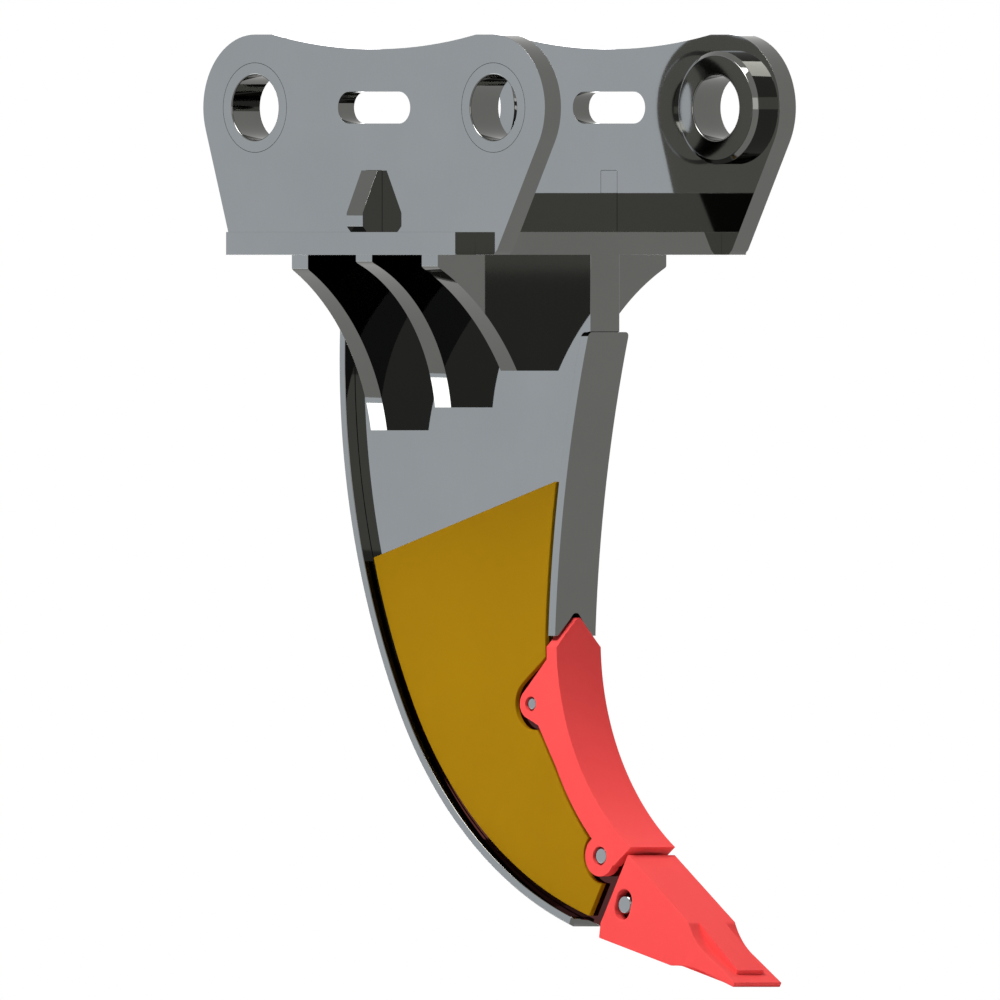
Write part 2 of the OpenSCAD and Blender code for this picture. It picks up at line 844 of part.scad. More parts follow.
ear(1);  // left_ear
ear(-1);  // right_ear
boss(0, 1);  // stick_boss_left
boss(0, -1);  // stick_boss_right
boss(-pin_spacing, 1);  // link_boss_left
boss(-pin_spacing, -1);  // link_boss_right
base_plate();
cross_plate();
gusset(rear_gusset_x, 1, rear_gusset_depth, rear_gusset_edge, rear_gusset_r);  // rear_gusset_left
gusset(rear_gusset_x, -1, rear_gusset_depth, rear_gusset_edge, rear_gusset_r);  // rear_gusset_right
gusset(mid_gusset_x, 1, mid_gusset_depth, mid_gusset_edge, mid_gusset_r);  // mid_gusset_left
gusset(mid_gusset_x, -1, mid_gusset_depth, mid_gusset_edge, mid_gusset_r);  // mid_gusset_right
gusset(front_gusset_x, 1, front_gusset_depth, front_gusset_edge, front_gusset_r);  // front_gusset_left
gusset(front_gusset_x, -1, front_gusset_depth, front_gusset_edge, front_gusset_r);  // front_gusset_right
shank();
back_flange();
leading_edge_bar();
wear_plate(1);  // left_wear_plate
wear_plate(-1);  // right_wear_plate
shroud();
grooved_pin(upper_pin_at, upper_pin_d, shroud_w);  // upper_shroud_pin
grooved_pin(lower_pin_at, lower_pin_d, shroud_w);  // lower_shroud_pin
retaining_ring(upper_pin_at, upper_pin_d);  // upper_shroud_retainer
retaining_ring(lower_pin_at, lower_pin_d);  // lower_shroud_retainer
tooth();
grooved_pin(tooth_pin_at, tooth_pin_d, tooth_w);  // tooth_pin
retaining_ring(tooth_pin_at, tooth_pin_d);  // tooth_retainer
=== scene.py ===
"""The looks of an excavator ripper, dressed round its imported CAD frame.

The hanger, the shank and the ground tools are classes that make their pieces and hand them over to
the frame. The studio class makes the floor, the lamps, the world and the camera.
"""

import logging
import math
from abc import ABC, abstractmethod
from dataclasses import dataclass, fields
from enum import Enum
from typing import Any, Optional, Sequence, Union

import bmesh
import bpy
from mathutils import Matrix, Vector


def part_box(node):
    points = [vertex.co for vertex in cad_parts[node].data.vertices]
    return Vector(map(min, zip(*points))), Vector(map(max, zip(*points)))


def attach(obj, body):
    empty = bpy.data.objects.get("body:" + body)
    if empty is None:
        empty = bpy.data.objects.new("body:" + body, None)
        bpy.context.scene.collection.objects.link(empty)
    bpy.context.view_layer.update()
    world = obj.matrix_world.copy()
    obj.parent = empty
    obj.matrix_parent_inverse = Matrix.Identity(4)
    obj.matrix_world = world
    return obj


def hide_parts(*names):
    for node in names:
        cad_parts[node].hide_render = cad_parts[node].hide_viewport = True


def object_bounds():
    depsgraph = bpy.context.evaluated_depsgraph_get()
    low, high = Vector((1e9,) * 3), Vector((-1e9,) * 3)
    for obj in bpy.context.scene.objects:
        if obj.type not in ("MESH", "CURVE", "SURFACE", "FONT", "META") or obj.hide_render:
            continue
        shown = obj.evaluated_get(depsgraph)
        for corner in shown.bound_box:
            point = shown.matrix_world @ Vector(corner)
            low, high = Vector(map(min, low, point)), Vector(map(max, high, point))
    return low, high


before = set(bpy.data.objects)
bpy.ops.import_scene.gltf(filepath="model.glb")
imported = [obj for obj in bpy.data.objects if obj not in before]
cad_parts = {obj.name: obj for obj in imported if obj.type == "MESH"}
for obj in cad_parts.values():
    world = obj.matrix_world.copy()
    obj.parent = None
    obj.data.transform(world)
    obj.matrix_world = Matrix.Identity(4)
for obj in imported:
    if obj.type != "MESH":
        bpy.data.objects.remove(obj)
CAD_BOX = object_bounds()

LOG = logging.getLogger("ripper")
ROOT = "root"
SEAT_ROOM = 2e-5
NOISE_MIDDLE = 0.5

Colour = tuple[float, float, float]
Place = tuple[float, float, float]
Value = Union["Wire", float, int, str, bool, tuple, bpy.types.Material]

WHITE: Colour = (1.0, 1.0, 1.0)
BARE_STEEL: Colour = (0.118, 0.119, 0.112)


class Axis(Enum):
    """Axes of the frame that a seat can lie across."""

    Y = 1
    Z = 2


class Slot(Enum):
    """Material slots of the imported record."""

    STEEL_PLATE = "steel_plate"
    YELLOW_PAINT = "yellow_paint"
    RED_PAINT = "red_paint"
    PIN_STEEL = "pin_steel"


class Wire:
    """A node's output socket that Python's operators join to new Math nodes."""

    def __init__(self, sheet: "NodeSheet", socket: bpy.types.NodeSocket) -> None:
        """Keeps the sheet that the socket is on and the socket."""
        self.sheet = sheet
        self.socket = socket

    def out(self, name: str) -> "Wire":
        """Another output of the same node, by its name."""
        return Wire(self.sheet, self.socket.node.outputs[name])

    def _math(self, operation: str, first: Value, second: Value) -> "Wire":
        """A Math node on two values."""
        return self.sheet.node("ShaderNodeMath", {0: first, 1: second}, operation=operation)

    def __add__(self, other: Value) -> "Wire":
        """This plus other."""
        return self._math("ADD", self, other)

    def __radd__(self, other: Value) -> "Wire":
        """Other plus this."""
        return self._math("ADD", other, self)

    def __sub__(self, other: Value) -> "Wire":
        """This less other."""
        return self._math("SUBTRACT", self, other)

    def __rsub__(self, other: Value) -> "Wire":
        """Other less this."""
        return self._math("SUBTRACT", other, self)

    def __mul__(self, other: Value) -> "Wire":
        """This times other."""
        return self._math("MULTIPLY", self, other)

    def __rmul__(self, other: Value) -> "Wire":
        """Other times this."""
        return self._math("MULTIPLY", other, self)

    def __truediv__(self, other: Value) -> "Wire":
        """This over other."""
        return self._math("DIVIDE", self, other)

    def __rtruediv__(self, other: Value) -> "Wire":
        """Other over this."""
        return self._math("DIVIDE", other, self)

    def clamped(self) -> "Wire":
        """This, held between 0 and 1."""
        return self.sheet.node("ShaderNodeClamp", {"Value": self})


class NodeSheet:
    """A shader or geometry node tree that is written as expressions."""

    def __init__(self, tree: bpy.types.NodeTree) -> None:
        """Keeps the tree that the nodes go into."""
        self.tree = tree

    def node(
        self,
        kind: str,
        inputs: Optional[dict[Union[str, int], Any]] = None,
        output: Union[str, int] = 0,
        **settings: Any,
    ) -> Wire:
        """Adds any node.

        Args:
            kind: The node's type name.
            inputs: Values, wires or lists of wires for its sockets, by name or index.
            output: The output that is returned.
            **settings: Properties of the node, set before its sockets.

        Returns:
            The chosen output, or the first input of a node that has no output.
        """
        made = self.tree.nodes.new(kind)
        for key, value in settings.items():
            setattr(made, key, value)
        for key, value in (inputs or {}).items():
            for single in value if isinstance(value, list) else [value]:
                self._feed(made.inputs[key], single)
        return Wire(self, made.outputs[output] if made.outputs else made.inputs[0])

    def _feed(self, socket: bpy.types.NodeSocket, value: Value) -> None:
        """Links a wire to a socket, or sets the socket's own value.

        Args:
            socket: The input socket.
            value: The wire or the value. A colour may leave out its alpha.
        """
        if isinstance(value, Wire):
            self.tree.links.new(value.socket, socket)
        elif socket.type == "RGBA" and len(value) == 3:
            socket.default_value = (*value, 1.0)
        else:
            socket.default_value = value

    def blend(self, share: Value, first: Value, second: Value) -> Wire:
        """A colour that goes from first to second as share goes from 0 to 1."""
        ends = {"Factor": share, 6: first, 7: second}
        return self.node("ShaderNodeMix", ends, output=2, data_type="RGBA")

    def noise(self, place: Wire, scale: float, detail: float = 3.0, rough: float = 0.5) -> Wire:
        """A noise around its middle.

        Args:
            place: Where the noise is read.
            scale: Waves per metre.
            detail: Octaves.
            rough: How much the fine octaves count.

        Returns:
            The noise's value.
        """
        inputs = {"Vector": place, "Scale": scale, "Detail": detail, "Roughness": rough}
        return self.node("ShaderNodeTexNoise", inputs, noise_dimensions="3D")


@dataclass(frozen=True)
class Finish:
    """A surface with a slow drift of colour, a fine grain and a bump.

    The grain is stretched along one axis where `grain_stretch` isn't even.
    """

    name: str
    slot: Slot
    colour: Colour
    drift_colour: Colour
    metallic: float
    roughness: float
    roughness_drift: float
    specular: float = 0.5
    cloud_scale: float = 6.0
    cloud_detail: float = 4.0
    cloud_rough: float = 0.6
    grain_scale: float = 700.0
    grain_detail: float = 2.0
    grain_stretch: Place = (1.0, 1.0, 1.0)
    grain_share: float = 0.5
    drift_start: float = 0.35
    drift_gain: float = 2.2
    bump: float = 0.02
    bump_depth: float = 0.0003
    bump_cloud: float = 0.4

    def material(self) -> bpy.types.Material:
        """The finish as a material, made once."""
        return bpy.data.materials.get(self.name) or self._build()

    def _build(self) -> bpy.types.Material:
        """Makes the material's nodes.

        Returns:
            The material.
        """
        made = bpy.data.materials.new(self.name)
        made.use_nodes = True
        made.node_tree.nodes.clear()
        sheet = NodeSheet(made.node_tree)
        place = sheet.node("ShaderNodeTexCoord", output="Object")
        along = sheet.node("ShaderNodeMapping", {"Vector": place, "Scale": self.grain_stretch})
        cloud = sheet.noise(place, self.cloud_scale, self.cloud_detail, self.cloud_rough)
        grain = sheet.noise(along, self.grain_scale, self.grain_detail)
        sway = (grain - NOISE_MIDDLE) * self.grain_share
        drift = ((cloud - self.drift_start) * self.drift_gain + sway).clamped()
        colour = sheet.blend(drift, self.colour, self.drift_colour)
        bump = {
            "Strength": self.bump,
            "Distance": self.bump_depth,
            "Height": grain + cloud * self.bump_cloud,
        }
        surface = {
            "Base Color": self._stained(sheet, place, cloud, colour),
            "Metallic": self.metallic,
            "Roughness": self.roughness + (cloud - NOISE_MIDDLE + sway) * self.roughness_drift,
            "Specular IOR Level": self.specular,
            "Normal": sheet.node("ShaderNodeBump", bump),
        }
        shader = sheet.node("ShaderNodeBsdfPrincipled", surface)
        sheet.node("ShaderNodeOutputMaterial", {"Surface": shader})
        return made

    def _stained(self, sheet: NodeSheet, place: Wire, cloud: Wire, colour: Wire) -> Wire:
        """The colour with painted shade laid over it, which is none on a clean finish."""
        return colour


@dataclass(frozen=True)
class PaintedShadeFinish(Finish):
    """A finish with painted shade below a level: a dark colour, tinged red like light bounced off
    the red casting, laid over the steel.
    """

    # The colour, height, fade and unevenness of the painted shade, a dark colour tinged red like
    # bounced light.
    rub_colour: Colour = (0.03, 0.008, 0.007)
    rub_level: float = -0.66
    rub_fade: float = 0.03
    rub_unevenness: float = 0.6

    @classmethod
    def over(cls, clean: Finish, name: str) -> "PaintedShadeFinish":
        """The form of a clean finish with painted shade below a level, under a name of its own."""
        values = {field.name: getattr(clean, field.name) for field in fields(clean)}
        return cls(**{**values, "name": name})

    def _stained(self, sheet: NodeSheet, place: Wire, cloud: Wire, colour: Wire) -> Wire:
        """The colour with the band of painted shade laid over it.

        Args:
            sheet: The material's nodes.
            place: Object coordinates.
            cloud: The slow noise.
            colour: The clean colour.

        Returns:
            The colour with the painted shade.
        """
        # Painted shade: the colour goes dark and red-tinged below a height, with a cloudy edge.
        height = sheet.node("ShaderNodeSeparateXYZ", {"Vector": place}, "Z")
        depth = (self.rub_level - height) / self.rub_fade
        share = (depth + (cloud - NOISE_MIDDLE) * self.rub_unevenness).clamped()
        return sheet.blend(share, colour, self.rub_colour)


PLATE_STEEL = Finish(
    name="plate_steel",
    slot=Slot.STEEL_PLATE,
    colour=BARE_STEEL,
    drift_colour=(0.126, 0.126, 0.119),
    metallic=1.0,
    roughness=0.03,
    roughness_drift=0.012,
    grain_stretch=(1.0, 1.0, 0.06),
    bump=0.002,
)
# The shank's steel, darkened low down by painted shade tinged red.
SHANK_STEEL = PaintedShadeFinish.over(PLATE_STEEL, "shank_steel")
TURNED_STEEL = Finish(
    name="turned_steel",
    slot=Slot.STEEL_PLATE,
    colour=BARE_STEEL,
    drift_colour=(0.13, 0.13, 0.123),
    metallic=1.0,
    roughness=0.05,
    roughness_drift=0.015,
    grain_stretch=(0.08, 1.0, 0.08),
    bump=0.0006,
)
PIN_STEEL = Finish(
    name="bright_pin",
    slot=Slot.PIN_STEEL,
    colour=(0.125, 0.126, 0.12),
    drift_colour=(0.14, 0.14, 0.132),
    metallic=1.0,
    roughness=0.1,
    roughness_drift=0.04,
    bump=0.006,
)
YELLOW_PAINT = Finish(
    name="wear_yellow",
    slot=Slot.YELLOW_PAINT,
    colour=(0.35, 0.187, 0.0025),
    drift_colour=(0.37, 0.199, 0.003),
    metallic=0.0,
    roughness=0.55,
    roughness_drift=0.12,
    specular=0.02,
    grain_scale=420.0,
    bump=0.03,
)
RED_PAINT = Finish(
    name="tool_red",
    slot=Slot.RED_PAINT,
    colour=(0.93, 0.083, 0.081),
    drift_colour=(0.97, 0.09, 0.087),
    metallic=0.0,
    roughness=0.55,
    roughness_drift=0.12,
    specular=0.03,
    grain_scale=360.0,
    bump=0.05,
)


class GrownTree(ABC):
    """A geometry node tree that grows a piece's mesh into a new one with a material.

    Each kind has a name, lists the name, socket type and default of its own inputs, and says what
    it makes of them.
    """

    name: str
    inputs: tuple[tuple[str, str, Any], ...]

    def tree(self) -> bpy.types.NodeTree:
        """The tree, made once."""
        return bpy.data.node_groups.get(self.name) or self._build()

    def _build(self) -> bpy.types.NodeTree:
        """Makes the tree, which ends in real meshes with the material.

        Returns:
            A tree with the inputs Geometry, those of its kind and Finish.
        """
        tree = bpy.data.node_groups.new(self.name, "GeometryNodeTree")
        mesh = ("Geometry", "NodeSocketGeometry", None)
        finish = ("Finish", "NodeSocketMaterial", None)
        for label, kind, default in (mesh, *self.inputs, finish):
            socket = tree.interface.new_socket(label, in_out="INPUT", socket_type=kind)
            if default is not None:
                socket.default_value = default
        tree.interface.new_socket(mesh[0], in_out="OUTPUT", socket_type=mesh[1])
        sheet = NodeSheet(tree)
        given = sheet.node("NodeGroupInput")
        shape = self._shape(sheet, given)
        real = sheet.node("GeometryNodeRealizeInstances", {"Geometry": shape})
        dress = {"Geometry": real, "Material": given.out("Finish")}
        dressed = sheet.node("GeometryNodeSetMaterial", dress)
        sheet.node("NodeGroupOutput", {"Geometry": dressed})
        return tree

    @abstractmethod
    def _shape(self, sheet: NodeSheet, given: Wire) -> Wire:
        """What the tree makes.

        Args:
            sheet: The tree's nodes.
            given: The group input, with an output for each of the tree's inputs.

        Returns:
            The made geometry.
        """


class PairTree(GrownTree):
    """Joins a left piece with its mirror image on the right."""

    name = "mirrored_pair"
    inputs = ()

    def _shape(self, sheet: NodeSheet, given: Wire) -> Wire:
        """The piece and its mirror image in the middle plane.

        Args:
            sheet: The tree's nodes.
            given: The group input.

        Returns:
            The pair.
        """
        piece = given.out("Geometry")
        mirror = {"Geometry": piece, "Scale": (1.0, -1.0, 1.0)}
        other = sheet.node("GeometryNodeTransform", mirror)
        other = sheet.node("GeometryNodeFlipFaces", {"Mesh": other})
        return sheet.node("GeometryNodeJoinGeometry", {"Geometry": [piece, other]})


class TurnedTree(GrownTree):
    """Turns a profile round Y and repeats it along X."""

    name = "turned_pieces"
    inputs = (
        ("Core Radius", "NodeSocketFloat", 0.04),
        ("Steps", "NodeSocketInt", 128),
        ("Copies", "NodeSocketInt", 1),
        ("Spacing", "NodeSocketFloat", 0.0),
        ("Centre", "NodeSocketVector", (0.0, 0.0, 0.0)),
    )
    merge_gap = 1e-6
    upright = (math.radians(90), 0.0, 0.0)

    def _shape(self, sheet: NodeSheet, given: Wire) -> Wire:
        """The turned piece at each of its places.

        Args:
            sheet: The tree's nodes.
            given: The group input.

        Returns:
            The copies.
        """
        profile = sheet.node("GeometryNodeMeshToCurve", {"Mesh": given.out("Geometry")})
        circle = {"Resolution": given.out("Steps"), "Radius": given.out("Core Radius")}
        ring = sheet.node("GeometryNodeCurvePrimitiveCircle", circle, mode="RADIUS")
        turned = sheet.node("GeometryNodeCurveToMesh", {"Curve": ring, "Profile Curve": profile})
        merge = {"Geometry": turned, "Distance": self.merge_gap}
        turned = sheet.node("GeometryNodeMergeByDistance", merge)
        turned = sheet.node("GeometryNodeTransform", {"Geometry": turned, "Rotation": self.upright})
        line = {
            "Count": given.out("Copies"),
            "Start Location": given.out("Centre"),
            "Offset": sheet.node("ShaderNodeCombineXYZ", {"X": given.out("Spacing")}),
        }
        places = sheet.node("GeometryNodeMeshLine", line)
        return sheet.node("GeometryNodeInstanceOnPoints", {"Points": places, "Instance": turned})


class BentBarTree(GrownTree):
    """Sweeps a flat bar along a path."""

    name = "bent_bar"
    inputs = (
        ("Width", "NodeSocketFloat", 0.08),
        ("Thickness", "NodeSocketFloat", 0.01),
        ("Edge Radius", "NodeSocketFloat", 0.001),
    )
    edge_points = 3

    def _shape(self, sheet: NodeSheet, given: Wire) -> Wire:
        """The bar, with rounded edges and closed ends.

        Args:
            sheet: The tree's nodes.
            given: The group input.

        Returns:
            The bar.
        """
        path = sheet.node("GeometryNodeMeshToCurve", {"Mesh": given.out("Geometry")})
        sides = {"Width": given.out("Width"), "Height": given.out("Thickness")}
        section = sheet.node("GeometryNodeCurvePrimitiveQuadrilateral", sides, mode="RECTANGLE")
        edges = {"Curve": section, "Count": self.edge_points, "Radius": given.out("Edge Radius")}
        section = sheet.node("GeometryNodeFilletCurve", edges, mode="POLY")
        sweep = {"Curve": path, "Profile Curve": section, "Fill Caps": True}
        return sheet.node("GeometryNodeCurveToMesh", sweep)


@dataclass(frozen=True)
class FlatSeat:
    """A plane, and its mirror image in the middle plane, whose edges on a piece stay sharp."""

    axis: Axis
    place: float

    def holds(self, point: Vector) -> bool:
        """Whether a point is on the seat."""
        return abs(abs(point[self.axis.value]) - abs(self.place)) < SEAT_ROOM


@dataclass(frozen=True)
class RoundSeat:
    """A cylinder along Y whose edges on a piece stay sharp."""

    radius: float
    x: float = 0.0

    def holds(self, point: Vector) -> bool:
        """Whether a point is on the seat."""
        return abs(math.hypot(point.x - self.x, point.z) - self.radius) < SEAT_ROOM


Seat = Union[FlatSeat, RoundSeat]


@dataclass
class Workshop:
    """Tools that every sub-assembly uses to make, soften and hand over its pieces."""

    merge_gap: float = 1e-6
    flat_angle: float = math.radians(0.05)
    bevel_angle: float = math.radians(32)
    shading_weight: int = 80

    def new_piece(self, name: str, mesh: bpy.types.Mesh) -> bpy.types.Object:
        """A new object at the origin with this mesh."""
        piece = bpy.data.objects.new(name, mesh)
        bpy.context.scene.collection.objects.link(piece)
        return piece

    def copy_of(self, name: str, node: str, shortest: float = 0.0) -> bpy.types.Object:
        """A merged copy of a CAD node, with its flat triangles joined.

        Args:
            name: The piece's name.
            node: The CAD node.
            shortest: Edges shorter than this are closed up.

        Returns:
            The new piece.
        """
        shape = bmesh.new()
        shape.from_mesh(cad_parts[node].data)
        bmesh.ops.remove_doubles(shape, verts=shape.verts, dist=self.merge_gap)
        bmesh.ops.dissolve_limit(
            shape, angle_limit=self.flat_angle, verts=shape.verts, edges=shape.edges
        )
        bmesh.ops.remove_doubles(shape, verts=shape.verts, dist=shortest)
        mesh = bpy.data.meshes.new(name)
        shape.to_mesh(mesh)
        shape.free()
        return self.new_piece(name, mesh)

    def outline(self, name: str, points: Sequence[Place], closed: bool) -> bpy.types.Object:
        """A piece of bare edges through points.

        Args:
            name: The piece's name.
            points: The corners, in order.
            closed: Whether the last corner joins the first.

        Returns:
            The new piece.
        """
        count = len(points)
        edges = [(i, (i + 1) % count) for i in range(count if closed else count - 1)]
        mesh = bpy.data.meshes.new(name)
        mesh.from_pydata(points, edges, [])
        return self.new_piece(name, mesh)

    def grow(
        self, piece: bpy.types.Object, kind: GrownTree, finish: Finish, values: dict[str, Any]
    ) -> bpy.types.Object:
        """Runs a geometry node tree on a piece and keeps the plain mesh.

        Args:
            piece: The piece, whose mesh is the tree's Geometry.
            kind: The kind of tree.
            finish: The finish of what is made.
            values: The kind's own inputs, by name.

        Returns:
            The piece, with its faces outwards.
        """
        tree = kind.tree()
        modifier = piece.modifiers.new(tree.name, "NODES")
        modifier.node_group = tree
        sockets = {
            item.name: item.identifier
            for item in tree.interface.items_tree
            if item.item_type == "SOCKET" and item.in_out == "INPUT"
        }
        for label, value in {**values, "Finish": finish.material()}.items():
            modifier[sockets[label]] = value
        return self._face_out(self.settle(piece))

    def paired(self, piece: bpy.types.Object, finish: Finish) -> bpy.types.Object:
        """Joins a left piece with its mirror image."""
        return self.grow(piece, PairTree(), finish, {})

    def settle(self, piece: bpy.types.Object) -> bpy.types.Object:
        """Turns a piece's modifiers into plain mesh.

        Args:
            piece: The piece.

        Returns:
            The piece.
        """
        graph = bpy.context.evaluated_depsgraph_get()
        mesh = bpy.data.meshes.new_from_object(piece.evaluated_get(graph))
        old = piece.data
        piece.modifiers.clear()
        piece.data = mesh
        mesh.name = piece.name
        bpy.data.meshes.remove(old)
        return piece

    def _face_out(self, piece: bpy.types.Object) -> bpy.types.Object:
        """Merges a piece's doubles and points its faces outwards.

        Args:
            piece: The piece.

        Returns:
            The piece.
        """
        shape = bmesh.new()
        shape.from_mesh(piece.data)
        bmesh.ops.remove_doubles(shape, verts=shape.verts, dist=self.merge_gap)
        bmesh.ops.recalc_face_normals(shape, faces=shape.faces)
        shape.to_mesh(piece.data)
        shape.free()
        return piece

    def soften(
        self, piece: bpy.types.Object, width: float, steps: int = 2, seats: Sequence[Seat] = ()
    ) -> bpy.types.Object:
        """Rounds a piece's sharp edges and evens its shading.

        Args:
            piece: The piece.
            width: How far the rounding reaches from an edge.
            steps: Faces across the rounding.
            seats: Where edges stay sharp.

        Returns:
            The piece.
        """
        self._weigh_edges(piece.data, seats)
        bevel = piece.modifiers.new("rounded_edges", "BEVEL")
        bevel.width = width
        bevel.segments = steps
        bevel.limit_method = "WEIGHT"
        bevel.use_clamp_overlap = True
        bevel.miter_outer = "MITER_ARC"
        return self.even_shading(piece, keep_sharp=True)

    def even_shading(self, piece: bpy.types.Object, keep_sharp: bool) -> bpy.types.Object:
        """Lets the large faces of a piece lead its shading.

        Args:
            piece: The piece.
            keep_sharp: Whether edges that are marked sharp stay so.

        Returns:
            The piece, with all its modifiers turned into plain mesh.
        """
        even = piece.modifiers.new("even_shading", "WEIGHTED_NORMAL")
        even.mode = "FACE_AREA"
        even.weight = self.shading_weight
        even.keep_sharp = keep_sharp
        return self.settle(piece)

    def _weigh_edges(self, mesh: bpy.types.Mesh, seats: Sequence[Seat]) -> None:
        """Marks the sharp edges of a mesh for rounding and makes its faces smooth.

        Args:
            mesh: The mesh.
            seats: Where edges stay sharp.
        """
        shape = bmesh.new()
        shape.from_mesh(mesh)
        weight = shape.edges.layers.float.new("bevel_weight_edge")
        for edge in shape.edges:
            sharp = len(edge.link_faces) == 2 and edge.calc_face_angle() > self.bevel_angle
            seated = any(all(seat.holds(v.co) for v in edge.verts) for seat in seats)
            edge[weight] = 1.0 if sharp and not seated else 0.0
            edge.smooth = not (sharp and seated)
        for face in shape.faces:
            face.smooth = True
        shape.to_mesh(mesh)
        shape.free()

    def hand_over(self, piece: bpy.types.Object, finish: Finish, nodes: Sequence[str]) -> None:
        """Dresses a piece and gives it to the frame in place of CAD nodes.

        Args:
            piece: The finished piece.
            finish: Its finish.
            nodes: The CAD nodes that it stands for.
        """
        piece.data.materials.clear()
        piece.data.materials.append(finish.material())
        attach(piece, ROOT)
        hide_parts(*nodes)
        LOG.info("%s: %d faces, %s", piece.name, len(piece.data.polygons), finish.name)


SHOP = Workshop()


@dataclass
class Hanger:
    """The welded hanger: ears, bosses, base plate, cross plate and gussets."""

    pin_spacing: float = 0.413
    bore_radius: float = 0.04
    barrel_radius: float = 0.0546
    boss_room: float = 0.0006
    collar_radius: float = 0.0695
    collar_length: float = 0.022
    collar_chamfer: float = 0.005
    bore_lip: float = 0.0012
    boss_edge: float = 0.0006
    boss_steps: int = 160
    ear_in: float = 0.1895
    ear_out: float = 0.2175
    base_top: float = -0.1524
    base_bottom: float = -0.1804
    shank_side: float = 0.025
    plate_edge: float = 0.0002

    def build(self) -> None:
        """Makes and hands over every piece of the hanger."""
        on_base = [FlatSeat(Axis.Z, self.base_top)]
        under_base = [FlatSeat(Axis.Z, self.base_bottom), FlatSeat(Axis.Y, self.shank_side)]
        holes = self._round_seats(self.barrel_radius + self.boss_room)
        self._pair("ears", "left_ear", "right_ear", on_base + holes)
        self._bosses()
        self._plate("base", "base_plate", [])
        self._plate("cross_rib", "cross_plate", on_base)
        for row in ("rear", "mid", "front"):
            self._pair(f"{row}_gussets", f"{row}_gusset_left", f"{row}_gusset_right", under_base)

    def _round_seats(self, radius: float) -> list[Seat]:
        """Round seats at both pins."""
        return [RoundSeat(radius), RoundSeat(radius, -self.pin_spacing)]

    def _plate(self, name: str, node: str, seats: Sequence[Seat]) -> None:
        """Makes one plate from its CAD node.

        Args:
            name: The piece's name.
            node: The CAD node.
            seats: Where its edges stay sharp.
        """
        piece = SHOP.soften(SHOP.copy_of(name, node), self.plate_edge, seats=seats)
        SHOP.hand_over(piece, PLATE_STEEL, [node])

    def _pair(self, name: str, left: str, right: str, seats: Sequence[Seat]) -> None:
        """Makes a left plate from its CAD node and mirrors it.

        Args:
            name: The piece's name.
            left: The left CAD node.
            right: The right CAD node.
            seats: Where its edges stay sharp.
        """
        piece = SHOP.paired(SHOP.copy_of(name, left), PLATE_STEEL)
        SHOP.soften(piece, self.plate_edge, seats=seats)
        SHOP.hand_over(piece, PLATE_STEEL, [left, right])

    def _boss_profile(self) -> list[Place]:
        """Half of a left boss's section, measured from its bore.

        Returns:
            The corners, from the bore's lip out over the collar and back along the bore.
        """
        face = self.ear_in - self.collar_length
        wall = self.barrel_radius - self.bore_radius
        flange = self.collar_radius - self.bore_radius
        return [
            (self.bore_lip, face, 0.0),
            (flange - self.collar_chamfer, face, 0.0),
            (flange, face + self.collar_chamfer, 0.0),
            (flange, self.ear_in, 0.0),
            (wall, self.ear_in, 0.0),
            (wall, self.ear_out, 0.0),
            (self.bore_lip, self.ear_out, 0.0),
            (0.0, self.ear_out - self.bore_lip, 0.0),
            (0.0, face + self.bore_lip, 0.0),
        ]

    def _bosses(self) -> None:
        """Turns a boss from its profile, repeats it at the link pin and mirrors both."""
        piece = SHOP.outline("pin_bosses", self._boss_profile(), closed=True)
        turning = {
            "Core Radius": self.bore_radius,
            "Steps": self.boss_steps,
            "Copies": 2,
            "Spacing": -self.pin_spacing,
            "Centre": (0.0, 0.0, 0.0),
        }
        SHOP.grow(piece, TurnedTree(), TURNED_STEEL, turning)
        seats = [FlatSeat(Axis.Y, self.ear_in), *self._round_seats(self.barrel_radius)]
        SHOP.soften(SHOP.paired(piece, TURNED_STEEL), self.boss_edge, seats=seats)
        nodes = [f"{pin}_boss_{side}" for pin in ("stick", "link") for side in ("left", "right")]
        SHOP.hand_over(piece, TURNED_STEEL, nodes)


def arc_points(
    centre: Vector, radius: float, start: float, end: float, chords: int
) -> list[tuple[float, float]]:
    """Points along an arc.

    Args:
        centre: The arc's centre.
        radius: Its radius.
        start: The angle of its first point, in radians.
        end: The angle of its last point.
        chords: Chords along it.

    Returns:
        The points, both ends among them.
    """
    angles = [start + (end - start) * i / chords for i in range(chords + 1)]
    return [(centre.x + radius * math.cos(a), centre.y + radius * math.sin(a)) for a in angles]


